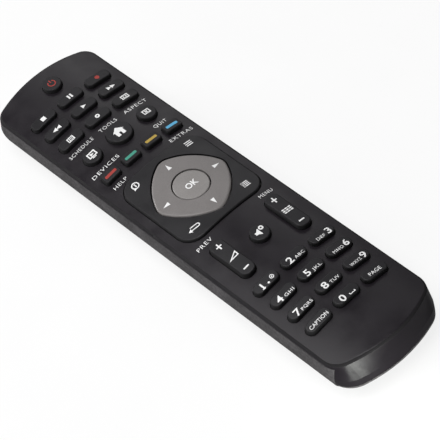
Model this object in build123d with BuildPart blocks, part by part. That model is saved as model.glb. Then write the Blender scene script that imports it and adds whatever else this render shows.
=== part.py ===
from build123d import *
from math import cos, radians, sin, sqrt
import os

# A slim television remote control: a crowned key face over a rounded belly, with a battery door
# that forms the lower half of the belly and slides off the grip end. Millimetres.
# +Y points along the body to the infrared end and +Z out of the key face. The origin lies under
# the middle of the body, on the surface that the flat belly rests on.

# Body
WIDTH = 48.0
LENGTH = 196.4
CROWN = 3.0
SIDE_BAND = 6.0
BELLY_TUCK = 10.0
END_TUCK = 14.0
CORNER_RADIUS = 6.0
GRIP_CORNER_RADIUS = 9.5
IR_END_RADIUS = 70.0
IR_END_LEAN = 2.1
GRIP_END_RADIUS = 57.0
GRIP_END_TOP_RADIUS = 38.0
GRIP_END_LEAN = 2.5
GRIP_LAND = 0.7
RAMP_RADIUS = 36.0
RAMP_LEDGE = 0.5
RIM_ROUND = 1.2
BELLY_STEPS = 5
FACE_WALL = 1.6
SHELL_WALL = 1.8
RIM_DEPTH = 1.3
SEAM = 0.12
SKIRT_LENGTH = 10.0
LOCATING_LIP = 1.0
LOCATING_LIP_DEPTH = 1.5

# Cells, side by side under the grip half
CELL_RADIUS = 5.25
CELL_LENGTH = 44.5
CELL_NUB_RADIUS = 1.9
CELL_NUB_LENGTH = 1.0
CELL_CLEARANCE = 0.3
CELL_GAP = 1.0
SPRING_LENGTH = 4.2
SPRING_TURNS = 4
SPRING_WIRE_RADIUS = 0.3
SPRING_BASE_RADIUS = 3.4
SPRING_TIP_RADIUS = 2.2
CONTACT_THICKNESS = 0.4
CONTACT_HEIGHT = 8.0
TAIL_WIDTH = 2.0

# Battery door and the bay that it covers
DOOR_WALL = 1.4
DOOR_LENGTH = 72.0
DOOR_DEPTH = 8.8
DOOR_GAP = 0.15
BAY_RIB = 1.0
BAY_END_INSET = 14.7
RAMP_TO_BAY = 3.2
RAIL_THICKNESS = 1.0
RAIL_LEDGE = 1.1
RAIL_LEDGE_THICKNESS = 0.7
RAIL_PLAY = 0.2
RAIL_SIDE_PLAY = 0.4
RAIL_DROP = 2.8
GRIP_GROOVES = 5
GRIP_GROOVE_PITCH = 2.4
GRIP_GROOVE_WIDTH = 1.0
GRIP_GROOVE_DEPTH = 0.6
GRIP_GROOVE_LENGTH = 18.0
GRIP_GROOVE_INSET = 18.0

# Deck, circuit board and rubber key mat, stacked over the cells
DECK_CLEARANCE = 0.4
DECK_THICKNESS = 0.8
BOARD_THICKNESS = 1.0
BOARD_SIDE_GAP = 4.2
BOARD_IR_GAP = 7.7
BOARD_GRIP_GAP = 15.0
BOARD_CORNER = 5.0
MAT_THICKNESS = 0.7
MAT_HOLE_GAP = 0.35
POST_RADIUS = 2.0
PIN_RADIUS = 1.2

# Keys
KEY_TRAVEL = 0.8
KEY_GAP = 0.25
KEY_ROUND = 0.5
KEY_PROUD = 1.7
LIP_REACH = 0.4
LIP_THICKNESS = 0.6
LIP_GAP = 0.15
MAT_CLEARANCE = 0.2
STEM_RADIUS = 1.6
STEM_CLEARANCE = 0.1
COLUMN_INSET = 10.2
COLUMN_PITCH = WIDTH / 2 - COLUMN_INSET
PILL_WIDTH = 11.6
PILL_HEIGHT = 5.2
PLAY_KEY_CORNER = 2.0
PLAY_KEY_PITCH = 8.1
DIGIT_KEY_CORNER = 2.45
DIGIT_KEY_PITCH = 8.55
ROUND_KEY_RADIUS = 4.1
HOME_KEY_RADIUS = 5.5
COLOUR_KEY_WIDTH = 8.0
COLOUR_KEY_CORNER = 1.2
COLOUR_KEY_OVERHANG = 1.65
COLOUR_KEY_PITCH = (COLUMN_PITCH + COLOUR_KEY_OVERHANG) * 2 / 3
COLOUR_KEY_PROUD = 1.8
ROCKER_WIDTH = 6.9
ROCKER_LENGTH = 20.9
ROCKER_CORNER = 2.9
ROCKER_PROUD = 2.0
ROCKER_GAP = 0.35
ROCKER_PIVOT_RADIUS = 0.9
ROCKER_PIVOT_LENGTH = 5.6
ROCKER_PLUNGER_OFFSET = 7.5
ROCKER_TAB_LENGTH = 6.0
PLUNGER_RADIUS = 1.3

# Rows of keys, each measured from the one before it, starting at the infrared end
POWER_INSET = 12.4
POWER_TO_PLAY = 10.9
PLAY_TO_ROUND = 12.4
ROUND_TO_COLOUR = 12.3
COLOUR_TO_PAD = 27.4
PAD_TO_ROCKER = 36.2
ROCKER_TO_DIGIT = 16.9

# Navigation pad: a corner-key frame, a ring in it and a disc in the ring
FRAME_INSET = 4.1
FRAME_WIDTH = WIDTH - 2 * FRAME_INSET
FRAME_LENGTH = 41.4
FRAME_CORNER = 7.5
FRAME_PROUD = 0.8
FRAME_GAP = 0.35
FRAME_ROUND = 0.6
RING_SIDE_INSET = 2.95
RING_END_INSET = 3.15
RING_REACH_X = FRAME_WIDTH / 2 - RING_SIDE_INSET
RING_REACH_Y = FRAME_LENGTH / 2 - RING_END_INSET
RING_BULGE = 3.0
RING_CORNER = 6.0
RING_GAP = 0.45
RING_PROUD = 0.9
RING_ROUND = 0.9
DISC_RADIUS = 7.45
DISC_PROUD = 0.8
DISC_STEM_RADIUS = 2.2
DISC_THICKNESS = 2.3
PAD_UNDERSIDE = 2.1
RING_PLUNGER_OFFSET = 12.0
FRAME_PLUNGER_SIDE_INSET = 4.3
FRAME_PLUNGER_END_INSET = 4.5
FRAME_PLUNGER_X = FRAME_WIDTH / 2 - FRAME_PLUNGER_SIDE_INSET
FRAME_PLUNGER_Y = FRAME_LENGTH / 2 - FRAME_PLUNGER_END_INSET
RING_SEAT_INNER = 2.9
RING_SEAT_OUTER = 6.0
RING_SEAT_THICKNESS = 0.8
RING_SEAT_LIFT = 0.6
FRAME_SEAT_INNER = 7.4
FRAME_SEAT_OUTER = 8.8
FRAME_SEAT_THICKNESS = 0.6
FRAME_SEAT_LIFT = 0.4

# Infrared end
WINDOW_WIDTH = 26.0
WINDOW_DEPTH = 6.6
LED_RADIUS = 1.5
LED_FLANGE_RADIUS = 1.9
LED_FLANGE_THICKNESS = 0.8
LED_BODY_LENGTH = 3.0
LED_GAP = 0.5
LED_DROP = 1.6
LED_LEAD = 0.5
LED_LEAD_REACH = 3.0
LED_LEAD_PITCH = 2.0

# Parts under the circuit board
CHIP_WIDTH = 7.5
CHIP_LENGTH = 10.2
CHIP_THICKNESS = 1.6
CHIP_LEADS = 8
CHIP_LEAD_PITCH = 1.27
CHIP_LEAD_WIDTH = 0.45
CHIP_LEAD_REACH = 1.2
CHIP_LEAD_THICKNESS = 0.3
RESONATOR_SIZE = (5.5, 3.0, 4.2)
CAPACITOR_RADIUS = 2.5
CAPACITOR_LENGTH = 7.0
TRANSISTOR_RADIUS = 2.3
TRANSISTOR_FLAT = 1.4
TRANSISTOR_HEIGHT = 4.6
RESISTOR_SIZE = (3.2, 1.6, 0.6)
RESISTOR_PITCH = 4.0
RESISTOR_COUNT = 3

# Heights, from the resting surface up
CELL_AXIS = DOOR_WALL + CELL_CLEARANCE + CELL_RADIUS
DECK_BOTTOM = CELL_AXIS + CELL_RADIUS + DECK_CLEARANCE
BOARD_BOTTOM = DECK_BOTTOM + DECK_THICKNESS
BOARD_TOP = BOARD_BOTTOM + BOARD_THICKNESS
MAT_TOP = BOARD_TOP + MAT_THICKNESS
PLUNGER_BOTTOM = BOARD_TOP + STEM_CLEARANCE + KEY_TRAVEL
PAD_BOTTOM = MAT_TOP + PAD_UNDERSIDE

# The crowned face is part of a cylinder along Y. Its radius follows from the width and the crown.
FACE_RADIUS = ((WIDTH / 2) ** 2 + CROWN ** 2) / (2 * CROWN)
WIDEST_LIP = COLUMN_PITCH + PILL_WIDTH / 2 + LIP_REACH


def face_rise(x):
    """Height of the crowned face above its side edges."""
    return sqrt(FACE_RADIUS ** 2 - x ** 2) - sqrt(FACE_RADIUS ** 2 - (WIDTH / 2) ** 2)


LIP_STACK = MAT_CLEARANCE + KEY_TRAVEL + LIP_THICKNESS + LIP_GAP + FACE_WALL
EDGE_HEIGHT = MAT_TOP + LIP_STACK - face_rise(WIDEST_LIP)
CROWN_TOP = EDGE_HEIGHT + CROWN
BELT_HEIGHT = EDGE_HEIGHT - SIDE_BAND
PARTING_HEIGHT = EDGE_HEIGHT - RIM_DEPTH
DOOR_TOP = EDGE_HEIGHT - DOOR_DEPTH
SKIRT_BOTTOM = DOOR_TOP
GRIP_FOOT = DOOR_TOP - DOOR_GAP - GRIP_LAND
GRIP_RAMP = BAY_END_INSET - BAY_RIB - RAMP_TO_BAY
RAIL_HEIGHT = DOOR_TOP - RAIL_DROP
FACE_AXIS = CROWN_TOP - FACE_RADIUS

# Places along the body
IR_END = LENGTH / 2
GRIP_END = -LENGTH / 2
DOOR_FRONT = GRIP_END + DOOR_LENGTH
BAY_GRIP_WALL = GRIP_END + BAY_END_INSET
BAY_LENGTH = CELL_LENGTH + SPRING_LENGTH + 2 * CONTACT_THICKNESS
BAY_IR_WALL = BAY_GRIP_WALL + BAY_LENGTH
POWER_Y = IR_END - POWER_INSET
PLAY_Y = POWER_Y - POWER_TO_PLAY
ROUND_Y = PLAY_Y - 2 * PLAY_KEY_PITCH - PLAY_TO_ROUND
COLOUR_Y = ROUND_Y - ROUND_TO_COLOUR
PAD_Y = COLOUR_Y - COLOUR_TO_PAD
ROCKER_Y = PAD_Y - PAD_TO_ROCKER
DIGIT_Y = ROCKER_Y - ROCKER_TO_DIGIT
CELL_X = CELL_RADIUS + CELL_GAP / 2
BAY_HALF_WIDTH = CELL_X + CELL_RADIUS + CELL_CLEARANCE
BOARD_WIDTH = WIDTH - 2 * BOARD_SIDE_GAP
BOARD_IR_EDGE = IR_END - BOARD_IR_GAP
BOARD_GRIP_EDGE = GRIP_END + BOARD_GRIP_GAP


def save(piece, name):
    """Labels a finished piece and writes it to its own file."""
    piece.label = name
    export_step(piece, f"parts/{name}.step")


def slab(x0, x1, y0, y1, z0, z1, mode=Mode.ADD):
    """A block between two opposite corners, in the current part."""
    with Locations(((x0 + x1) / 2, (y0 + y1) / 2, (z0 + z1) / 2)):
        Box(x1 - x0, y1 - y0, z1 - z0, mode=mode)


def plan_outline(half_width, ir_end, grip_end, grip_radius, inset):
    """The body seen from above: straight sides, arched ends and rounded corners.

    The inset is taken off the corner radii, for an outline inside the wall.
    """
    ir_corner = ir_end - IR_END_RADIUS + sqrt(IR_END_RADIUS ** 2 - half_width ** 2)
    grip_corner = grip_end + grip_radius - sqrt(grip_radius ** 2 - half_width ** 2)
    with BuildSketch(mode=Mode.PRIVATE) as outline:
        with BuildLine():
            Line((half_width, grip_corner), (half_width, ir_corner))
            ThreePointArc((half_width, ir_corner), (0, ir_end), (-half_width, ir_corner))
            Line((-half_width, ir_corner), (-half_width, grip_corner))
            ThreePointArc((-half_width, grip_corner), (0, grip_end), (half_width, grip_corner))
        make_face()
        fillet(outline.vertices().sort_by(Axis.Y)[:2], GRIP_CORNER_RADIUS - inset)
        fillet(outline.vertices().sort_by(Axis.Y)[-2:], CORNER_RADIUS - inset)
    return outline.sketch


def grip_wall(height, wall):
    """Where the leaning grip end stands at a height. It is furthest out at its foot."""
    return GRIP_END + wall + GRIP_END_LEAN * (height - GRIP_FOOT) / (CROWN_TOP - GRIP_FOOT)


def body_form(wall):
    """The body's outer form for wall 0, or the space left inside a wall of that thickness."""
    inset = wall / 2
    with BuildPart() as form:
        for height in (CROWN_TOP + SHELL_WALL, BELT_HEIGHT):
            share = (height - BELT_HEIGHT) / (CROWN_TOP - BELT_HEIGHT)
            grip_radius = GRIP_END_RADIUS + (GRIP_END_TOP_RADIUS - GRIP_END_RADIUS) * share
            ir_end = IR_END - wall - IR_END_LEAN * share
            with BuildSketch(Plane.XY.offset(height)):
                add(plan_outline(WIDTH / 2 - wall, ir_end, grip_wall(height, wall), grip_radius, inset))
        loft(ruled=True)
        for step in range(BELLY_STEPS + 1):
            angle = radians(90 * step / BELLY_STEPS)
            side_tuck = BELLY_TUCK * (1 - cos(angle)) + wall * cos(angle)
            end_tuck = END_TUCK * (1 - cos(angle)) + wall * cos(angle)
            height = BELT_HEIGHT * (1 - sin(angle)) + wall * sin(angle)
            with BuildSketch(Plane.XY.offset(height)):
                add(plan_outline(WIDTH / 2 - side_tuck, IR_END - end_tuck, grip_wall(height, wall),
                                 GRIP_END_RADIUS, inset))
        loft()
        # The ramp under the grip end: an arc that slides inwards on its way down
        slope = sqrt(GRIP_RAMP ** 2 + GRIP_FOOT ** 2)
        with BuildSketch(Plane.XY.offset(GRIP_FOOT + wall * slope / GRIP_RAMP)):
            with Locations((0, GRIP_END + RAMP_LEDGE)):
                Rectangle(WIDTH, 2 * RAMP_RADIUS)
            with Locations((0, GRIP_END + RAMP_LEDGE + RAMP_RADIUS)):
                Circle(RAMP_RADIUS, mode=Mode.SUBTRACT)
        extrude(amount=2 * slope, dir=(0, GRIP_RAMP / slope, -GRIP_FOOT / slope), mode=Mode.SUBTRACT)
    return form.part


def under_face(proud):
    """Everything under the crowned face, with the face raised by the given amount."""
    with BuildPart() as space:
        with BuildSketch(Plane.XZ):
            with Locations((0, FACE_AXIS)):
                Circle(FACE_RADIUS + proud)
        extrude(amount=LENGTH, both=True)
    return space.part


OUTER_FORM = body_form(0)
INNER_FORM = body_form(SHELL_WALL)
DOOR_INNER_FORM = body_form(DOOR_WALL)
UNDER_FACE = {proud: under_face(proud) for proud in
              (-FACE_WALL, 0, KEY_PROUD, COLOUR_KEY_PROUD, ROCKER_PROUD, FRAME_PROUD, RING_PROUD, DISC_PROUD)}

with BuildPart() as crowned_body:
    add(OUTER_FORM)
    add(UNDER_FACE[0], mode=Mode.INTERSECT)
    fillet(crowned_body.faces().sort_by(Axis.Z)[-1].edges(), RIM_ROUND)

with BuildPart() as cavity:
    add(INNER_FORM)
    add(UNDER_FACE[-FACE_WALL], mode=Mode.INTERSECT)


# Key outlines. Each is a function that draws the outline grown by the given amount.
def pill(width, height, corner):
    return lambda grow: RectangleRounded(width + 2 * grow, height + 2 * grow, corner + grow)


def disc(radius):
    return lambda grow: Circle(radius + grow)


def ring_outline(grow):
    """A diamond with bulging sides and rounded corners."""
    reach_x = RING_REACH_X + grow
    reach_y = RING_REACH_Y + grow
    chord = sqrt(reach_x ** 2 + reach_y ** 2)
    bulge = RING_BULGE + grow * (1 - sqrt(0.5))
    bulge_x = reach_x / 2 + bulge * reach_y / chord
    bulge_y = reach_y / 2 + bulge * reach_x / chord
    with BuildSketch(mode=Mode.PRIVATE) as diamond:
        with BuildLine():
            ThreePointArc((reach_x, 0), (bulge_x, bulge_y), (0, reach_y))
            ThreePointArc((0, reach_y), (-bulge_x, bulge_y), (-reach_x, 0))
            ThreePointArc((-reach_x, 0), (-bulge_x, -bulge_y), (0, -reach_y))
            ThreePointArc((0, -reach_y), (bulge_x, -bulge_y), (reach_x, 0))
        make_face()
        fillet(diamond.vertices(), RING_CORNER + grow)
    add(diamond.sketch)


PLAY_KEY = pill(PILL_WIDTH, PILL_HEIGHT, PLAY_KEY_CORNER)
DIGIT_KEY = pill(PILL_WIDTH, PILL_HEIGHT, DIGIT_KEY_CORNER)
COLOUR_KEY = pill(COLOUR_KEY_WIDTH, PILL_HEIGHT, COLOUR_KEY_CORNER)
ROCKER = pill(ROCKER_WIDTH, ROCKER_LENGTH, ROCKER_CORNER)
ROUND_KEY = disc(ROUND_KEY_RADIUS)
HOME_KEY = disc(HOME_KEY_RADIUS)
PAD_FRAME = pill(FRAME_WIDTH, FRAME_LENGTH, FRAME_CORNER)

# Push keys: name, outline, half width, x, y, height above the face
push_keys = [
    ("power_key", ROUND_KEY, ROUND_KEY_RADIUS, 0, POWER_Y, KEY_PROUD),
    ("source_key", ROUND_KEY, ROUND_KEY_RADIUS, -COLUMN_PITCH, ROUND_Y, KEY_PROUD),
    ("home_key", HOME_KEY, HOME_KEY_RADIUS, 0, ROUND_Y, KEY_PROUD),
    ("exit_key", ROUND_KEY, ROUND_KEY_RADIUS, COLUMN_PITCH, ROUND_Y, KEY_PROUD),
    ("mute_key", ROUND_KEY, ROUND_KEY_RADIUS, 0, ROCKER_Y, KEY_PROUD),
]
play_rows = [
    ["stop_key", "pause_key", "record_key"],
    ["rewind_key", "play_key", "forward_key"],
    ["guide_key", "setup_key", "aspect_key"],
]
digit_rows = [
    ["digit_1_key", "digit_2_key", "digit_3_key"],
    ["digit_4_key", "digit_5_key", "digit_6_key"],
    ["digit_7_key", "digit_8_key", "digit_9_key"],
    ["caption_key", "digit_0_key", "page_key"],
]
blocks = [(play_rows, PLAY_KEY, PLAY_Y, PLAY_KEY_PITCH), (digit_rows, DIGIT_KEY, DIGIT_Y, DIGIT_KEY_PITCH)]
for rows, outline, first_y, pitch in blocks:
    for row, names in enumerate(rows):
        for column, name in enumerate(names):
            x = (column - 1) * COLUMN_PITCH
            push_keys.append((name, outline, PILL_WIDTH / 2, x, first_y - row * pitch, KEY_PROUD))
for column, name in enumerate(["red_key", "green_key", "yellow_key", "blue_key"]):
    x = (column - 1.5) * COLOUR_KEY_PITCH
    push_keys.append((name, COLOUR_KEY, COLOUR_KEY_WIDTH / 2, x, COLOUR_Y, COLOUR_KEY_PROUD))
rockers = [("volume_rocker", -COLUMN_PITCH), ("channel_rocker", COLUMN_PITCH)]

openings = [(outline, x, y) for name, outline, half, x, y, proud in push_keys]
openings += [(ROCKER, x, ROCKER_Y) for name, x in rockers]
openings.append((PAD_FRAME, 0, PAD_Y))

# Where each plunger passes the rubber mat: x, y, radius
plungers = [(x, y, STEM_RADIUS) for name, outline, half, x, y, proud in push_keys]
for name, x in rockers:
    for side in (-1, 1):
        plungers.append((x, ROCKER_Y + side * ROCKER_PLUNGER_OFFSET, PLUNGER_RADIUS))
ring_plungers = [(RING_PLUNGER_OFFSET, 0), (0, RING_PLUNGER_OFFSET),
                 (-RING_PLUNGER_OFFSET, 0), (0, -RING_PLUNGER_OFFSET)]
frame_plungers = [(i * FRAME_PLUNGER_X, j * FRAME_PLUNGER_Y) for i in (-1, 1) for j in (-1, 1)]
plungers += [(x, PAD_Y + y, PLUNGER_RADIUS) for x, y in ring_plungers + frame_plungers]
plungers.append((0, PAD_Y, DISC_STEM_RADIUS))

# Corner pins under the face and posts on the belly, which clamp the mat and the board
pin_spots = [(i * (BOARD_WIDTH / 2 - 2 * PIN_RADIUS), y)
             for i in (-1, 1) for y in (POWER_Y - 2 * PIN_RADIUS, BOARD_GRIP_EDGE + 2 * PIN_RADIUS)]
post_spots = [(i * (BOARD_WIDTH / 2 - 3 * POST_RADIUS), y)
              for i in (-1, 1) for y in (DOOR_FRONT + 6 * POST_RADIUS, POWER_Y)]

# Front shell: the crowned face, its rim and the skirt that wraps the grip end
with BuildPart() as front_shell:
    add(crowned_body.part)
    slab(-WIDTH, WIDTH, GRIP_END + SKIRT_LENGTH, LENGTH, -CROWN_TOP, PARTING_HEIGHT, Mode.SUBTRACT)
    slab(-WIDTH, WIDTH, -LENGTH, LENGTH, -CROWN_TOP, SKIRT_BOTTOM, Mode.SUBTRACT)
    add(cavity.part, mode=Mode.SUBTRACT)
    lip_bottom = PARTING_HEIGHT - LOCATING_LIP_DEPTH
    with BuildSketch(Plane.XY.offset(lip_bottom)):
        add(plan_outline(WIDTH / 2 - SHELL_WALL, IR_END - IR_END_LEAN - SHELL_WALL,
                         GRIP_END + SKIRT_LENGTH + CORNER_RADIUS, GRIP_END_RADIUS, 0))
        add(plan_outline(WIDTH / 2 - SHELL_WALL - LOCATING_LIP,
                         IR_END - IR_END_LEAN - SHELL_WALL - LOCATING_LIP,
                         GRIP_END + SKIRT_LENGTH - GRIP_END_RADIUS, GRIP_END_RADIUS, 0),
            mode=Mode.SUBTRACT)
    extrude(amount=EDGE_HEIGHT - FACE_WALL / 2 - lip_bottom)
    slab(-WINDOW_WIDTH / 2, WINDOW_WIDTH / 2, BOARD_IR_EDGE, IR_END - IR_END_LEAN - SHELL_WALL,
         lip_bottom, PARTING_HEIGHT, Mode.SUBTRACT)
    with BuildSketch(Plane.XY.offset(MAT_TOP)):
        with Locations(pin_spots):
            Circle(PIN_RADIUS)
    extrude(amount=EDGE_HEIGHT + face_rise(BOARD_WIDTH / 2) - FACE_WALL / 2 - MAT_TOP)
    with BuildSketch(Plane.XY.offset(PARTING_HEIGHT)):
        for outline, x, y in openings:
            with Locations((x, y)):
                outline(0)
    extrude(amount=CROWN_TOP, mode=Mode.SUBTRACT)
save(front_shell.part, "front_shell")

# Wall across the belly that closes the battery bay off from the electronics
with BuildPart() as bulkhead:
    add(INNER_FORM)
    slab(-WIDTH / 2, WIDTH / 2, DOOR_FRONT, DOOR_FRONT + BAY_RIB, 0, BOARD_BOTTOM, Mode.INTERSECT)

# Rear shell: side walls, infrared end, fixed belly, deck and battery bay
with BuildPart() as rear_shell:
    add(OUTER_FORM)
    slab(-WIDTH, WIDTH, -LENGTH, LENGTH, PARTING_HEIGHT - SEAM, 2 * CROWN_TOP, Mode.SUBTRACT)
    slab(-WIDTH, WIDTH, -LENGTH, GRIP_END + SKIRT_LENGTH + SEAM, SKIRT_BOTTOM - SEAM, 2 * CROWN_TOP,
         Mode.SUBTRACT)
    add(INNER_FORM, mode=Mode.SUBTRACT)
    slab(-WIDTH, WIDTH, -LENGTH, DOOR_FRONT, -CROWN_TOP, DOOR_TOP, Mode.SUBTRACT)
    slab(-WINDOW_WIDTH / 2, WINDOW_WIDTH / 2, BOARD_IR_EDGE, LENGTH,
         PARTING_HEIGHT - SEAM - WINDOW_DEPTH, CROWN_TOP, Mode.SUBTRACT)
    add(bulkhead.part)
    wall_overlap = SHELL_WALL / 2
    deck_half = WIDTH / 2 - wall_overlap
    slab(-deck_half, deck_half, GRIP_END + SKIRT_LENGTH + SEAM, DOOR_FRONT + BAY_RIB, DECK_BOTTOM,
         BOARD_BOTTOM)
    for side in (-1, 1):
        rib = sorted((side * BAY_HALF_WIDTH, side * (BAY_HALF_WIDTH + BAY_RIB)))
        slab(*rib, BAY_GRIP_WALL - BAY_RIB, BAY_IR_WALL + BAY_RIB, DOOR_WALL + CELL_CLEARANCE,
             BOARD_BOTTOM)
        ledge = sorted((side * BAY_HALF_WIDTH, side * (BAY_HALF_WIDTH + BAY_RIB + RAIL_LEDGE)))
        slab(*ledge, BAY_GRIP_WALL, BAY_IR_WALL, RAIL_HEIGHT - RAIL_LEDGE_THICKNESS, RAIL_HEIGHT)
    for y in (BAY_GRIP_WALL - BAY_RIB, BAY_IR_WALL):
        slab(-BAY_HALF_WIDTH, BAY_HALF_WIDTH, y, y + BAY_RIB, DOOR_WALL + CELL_CLEARANCE,
             BOARD_BOTTOM)
    middle_rib = CELL_GAP / 4
    slab(-middle_rib, middle_rib, BAY_GRIP_WALL + SPRING_LENGTH * 2, BAY_IR_WALL - SPRING_LENGTH * 2,
         CELL_AXIS, BOARD_BOTTOM)
    for side in (-1, 1):
        tail_x = side * CELL_X
        slab(tail_x - TAIL_WIDTH / 2, tail_x + TAIL_WIDTH / 2, BAY_IR_WALL - CONTACT_THICKNESS,
             BAY_IR_WALL, DECK_BOTTOM, BOARD_BOTTOM, Mode.SUBTRACT)
    with BuildSketch(Plane.XY.offset(SHELL_WALL / 2)):
        with Locations(post_spots):
            Circle(POST_RADIUS)
    extrude(amount=BOARD_BOTTOM - SHELL_WALL / 2)
save(rear_shell.part, "rear_shell")

# Battery door: a tray that forms the belly and the lowest part of the grip end
with BuildPart() as battery_door:
    add(OUTER_FORM)
    slab(-WIDTH, WIDTH, -LENGTH, LENGTH, DOOR_TOP - DOOR_GAP, 2 * CROWN_TOP, Mode.SUBTRACT)
    slab(-WIDTH, WIDTH, DOOR_FRONT - DOOR_GAP, LENGTH, -CROWN_TOP, CROWN_TOP, Mode.SUBTRACT)
    add(DOOR_INNER_FORM, mode=Mode.SUBTRACT)
    for side in (-1, 1):
        rail_inner = BAY_HALF_WIDTH + BAY_RIB + RAIL_LEDGE + RAIL_SIDE_PLAY
        hook_inner = rail_inner - RAIL_LEDGE + RAIL_PLAY
        rail_top = RAIL_HEIGHT + RAIL_PLAY + RAIL_LEDGE_THICKNESS
        rail = sorted((side * rail_inner, side * (rail_inner + RAIL_THICKNESS)))
        hook = sorted((side * hook_inner, side * (rail_inner + RAIL_THICKNESS)))
        slab(*rail, BAY_GRIP_WALL, BAY_IR_WALL, DOOR_WALL / 2, rail_top)
        slab(*hook, BAY_GRIP_WALL, BAY_IR_WALL, RAIL_HEIGHT + RAIL_PLAY, rail_top)
    for groove in range(GRIP_GROOVES):
        y = GRIP_END + GRIP_GROOVE_INSET + groove * GRIP_GROOVE_PITCH
        slab(-GRIP_GROOVE_LENGTH / 2, GRIP_GROOVE_LENGTH / 2, y, y + GRIP_GROOVE_WIDTH,
             -GRIP_GROOVE_DEPTH, GRIP_GROOVE_DEPTH, Mode.SUBTRACT)
save(battery_door.part, "battery_door")

# Infrared window: a panel of the end wall, between the two shells
with BuildPart() as ir_window:
    add(OUTER_FORM)
    slab(-WINDOW_WIDTH / 2, WINDOW_WIDTH / 2, BOARD_IR_EDGE, LENGTH,
         PARTING_HEIGHT - SEAM - WINDOW_DEPTH, PARTING_HEIGHT - SEAM, Mode.INTERSECT)
    add(INNER_FORM, mode=Mode.SUBTRACT)
save(ir_window.part, "ir_window")

# Infrared diode: a flanged body with a domed nose and two bent leads
led_back = BOARD_IR_EDGE + LED_GAP
led_height = BOARD_BOTTOM - LED_DROP
with BuildPart() as ir_led:
    with BuildSketch(Plane.XZ.offset(-led_back)):
        with Locations((0, led_height)):
            Circle(LED_FLANGE_RADIUS)
    extrude(amount=-LED_FLANGE_THICKNESS)
    with BuildSketch(Plane.XZ.offset(-led_back)):
        with Locations((0, led_height)):
            Circle(LED_RADIUS)
    extrude(amount=-LED_BODY_LENGTH)
    with Locations((0, led_back + LED_BODY_LENGTH, led_height)):
        Sphere(LED_RADIUS)
    for side in (-1, 1):
        lead_x = side * LED_LEAD_PITCH / 2
        slab(lead_x - LED_LEAD / 2, lead_x + LED_LEAD / 2, led_back - LED_LEAD_REACH, led_back,
             led_height - LED_LEAD / 2, led_height + LED_LEAD / 2)
        slab(lead_x - LED_LEAD / 2, lead_x + LED_LEAD / 2, led_back - LED_LEAD_REACH,
             led_back - LED_LEAD_REACH + LED_LEAD, led_height, BOARD_BOTTOM)
save(ir_led.part, "ir_led")

# Circuit board, with slots for the contact tails
with BuildPart() as circuit_board:
    with BuildSketch(Plane.XY.offset(BOARD_BOTTOM)):
        with Locations((0, (BOARD_IR_EDGE + BOARD_GRIP_EDGE) / 2)):
            RectangleRounded(BOARD_WIDTH, BOARD_IR_EDGE - BOARD_GRIP_EDGE, BOARD_CORNER)
    extrude(amount=BOARD_THICKNESS)
    for side in (-1, 1):
        tail_x = side * CELL_X
        slab(tail_x - TAIL_WIDTH / 2, tail_x + TAIL_WIDTH / 2, BAY_IR_WALL - CONTACT_THICKNESS,
             BAY_IR_WALL, BOARD_BOTTOM, BOARD_TOP, Mode.SUBTRACT)
save(circuit_board.part, "circuit_board")

# Rubber key mat on the board, with a hole for every plunger
with BuildPart() as rubber_keymat:
    with BuildSketch(Plane.XY.offset(BOARD_TOP)):
        with Locations((0, (BOARD_IR_EDGE + BOARD_GRIP_EDGE) / 2)):
            RectangleRounded(BOARD_WIDTH, BOARD_IR_EDGE - BOARD_GRIP_EDGE, BOARD_CORNER)
        for x, y, radius in plungers:
            with Locations((x, y)):
                Circle(radius + MAT_HOLE_GAP, mode=Mode.SUBTRACT)
    extrude(amount=MAT_THICKNESS)
save(rubber_keymat.part, "rubber_keymat")

# Push keys: a crowned cap, a retaining lip under the face and a plunger down to the board
for name, outline, half, x, y, proud in push_keys:
    lip_top = EDGE_HEIGHT + face_rise(abs(x) + half + LIP_REACH) - FACE_WALL - LIP_GAP
    with BuildPart() as key:
        with BuildSketch(Plane.XY.offset(lip_top)):
            with Locations((x, y)):
                outline(-KEY_GAP)
        extrude(amount=CROWN_TOP)
        add(UNDER_FACE[proud], mode=Mode.INTERSECT)
        fillet(key.faces().sort_by(Axis.Z)[-1].edges(), KEY_ROUND)
        with BuildSketch(Plane.XY.offset(lip_top - LIP_THICKNESS)):
            with Locations((x, y)):
                outline(LIP_REACH)
        extrude(amount=LIP_THICKNESS)
        with BuildSketch(Plane.XY.offset(PLUNGER_BOTTOM)):
            with Locations((x, y)):
                Circle(STEM_RADIUS)
        extrude(amount=lip_top - PLUNGER_BOTTOM)
    save(key.part, name)

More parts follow.
